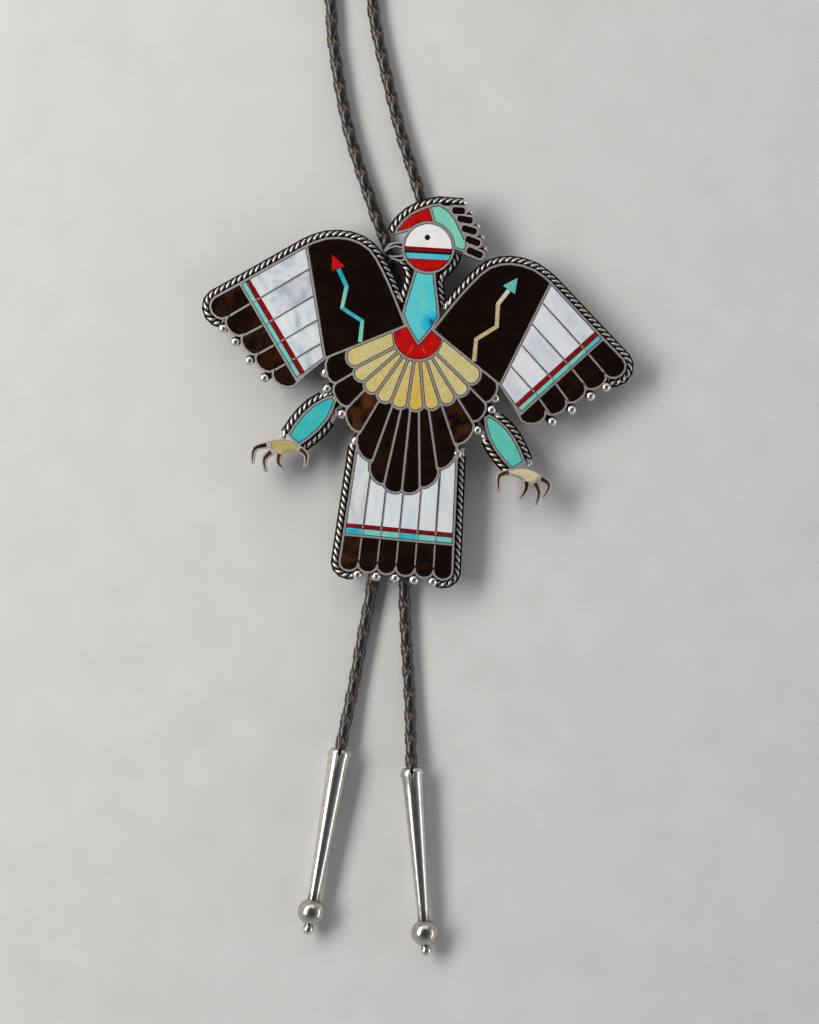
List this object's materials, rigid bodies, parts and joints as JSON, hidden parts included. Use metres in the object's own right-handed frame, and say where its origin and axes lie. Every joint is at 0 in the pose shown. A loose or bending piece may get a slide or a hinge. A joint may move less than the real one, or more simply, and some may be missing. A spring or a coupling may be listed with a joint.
{
  "type": "bolo tie",
  "caption": "Bolo tie: a large bird slide in silver channel inlay on a braided leather cord that ends in two long silver cone tips with balls.",
  "frame": {"origin": "middle of the flat back of the slide's clip, on the surface that the tie rests on", "axes": "+Z out of the stones' face, +Y to the bird's crown, +X to the right of someone who looks at the face"},
  "size_m": [0.1322, 0.4089, 0.0103],
  "materials": {
    "silver": "soldered sterling silver, polished on the edges, darkened in the recesses",
    "clip_metal": "plain folded nickel silver, satin",
    "tip_silver": "worn polished silver, tarnished brown in the hollows",
    "leather": "black braided leather, semi-gloss, with tan cut edges",
    "dark_shell": "polished black pen shell with a brown glow",
    "pearl": "polished mother of pearl, bluish grey streaks",
    "gold_shell": "polished gold-lip shell, fine grain",
    "coral": "polished red coral",
    "turquoise": "polished blue-green turquoise, dark matrix",
    "arrow_left": "polished inlay of coral and turquoise pieces",
    "arrow_right": "polished inlay of turquoise and gold-lip shell pieces",
    "face_inlay": "polished disc inlaid with shell, coral and turquoise"
  },
  "bodies": {
    "root": {"bird_setting": "silver", "slide_clip": "clip_metal", "tip_left": "tip_silver", "tip_right": "tip_silver", "cord": "leather", "wing_panel_left": "dark_shell", "wing_arrow_left": "arrow_left", "wing_pearls_left": "pearl", "wing_coral_left": "coral", "wing_turquoise_left": "turquoise", "wing_tips_left": "dark_shell", "wing_panel_right": "dark_shell", "wing_arrow_right": "arrow_right", "wing_pearls_right": "pearl", "wing_coral_right": "coral", "wing_turquoise_right": "turquoise", "wing_tips_right": "dark_shell", "tail_pearls": "pearl", "tail_coral": "coral", "tail_turquoise": "turquoise", "tail_tips": "dark_shell", "collar_stone": "coral", "yellow_feather_01": "gold_shell", "yellow_feather_02": "gold_shell", "yellow_feather_03": "gold_shell", "yellow_feather_04": "gold_shell", "yellow_feather_05": "gold_shell", "yellow_feather_06": "gold_shell", "yellow_feather_07": "gold_shell", "yellow_feather_08": "gold_shell", "yellow_feather_09": "gold_shell", "yellow_feather_10": "gold_shell", "dark_feather_01": "dark_shell", "dark_feather_02": "dark_shell", "dark_feather_03": "dark_shell", "dark_feather_04": "dark_shell", "dark_feather_05": "dark_shell", "dark_feather_06": "dark_shell", "dark_feather_07": "dark_shell", "dark_feather_08": "dark_shell", "dark_feather_09": "dark_shell", "dark_feather_10": "dark_shell", "dark_feather_11": "dark_shell", "dark_feather_12": "dark_shell", "neck_stone": "turquoise", "face_disc": "face_inlay", "crest_coral": "coral", "crest_turquoise": "turquoise", "crest_feather_1": "dark_shell", "crest_feather_2": "dark_shell", "crest_feather_3": "dark_shell", "crest_feather_4": "dark_shell", "crest_feather_5": "dark_shell", "leg_stone_left": "turquoise", "leg_stone_right": "turquoise", "foot_stone_left": "gold_shell", "foot_stone_right": "gold_shell"}
  },
  "joints": []
}
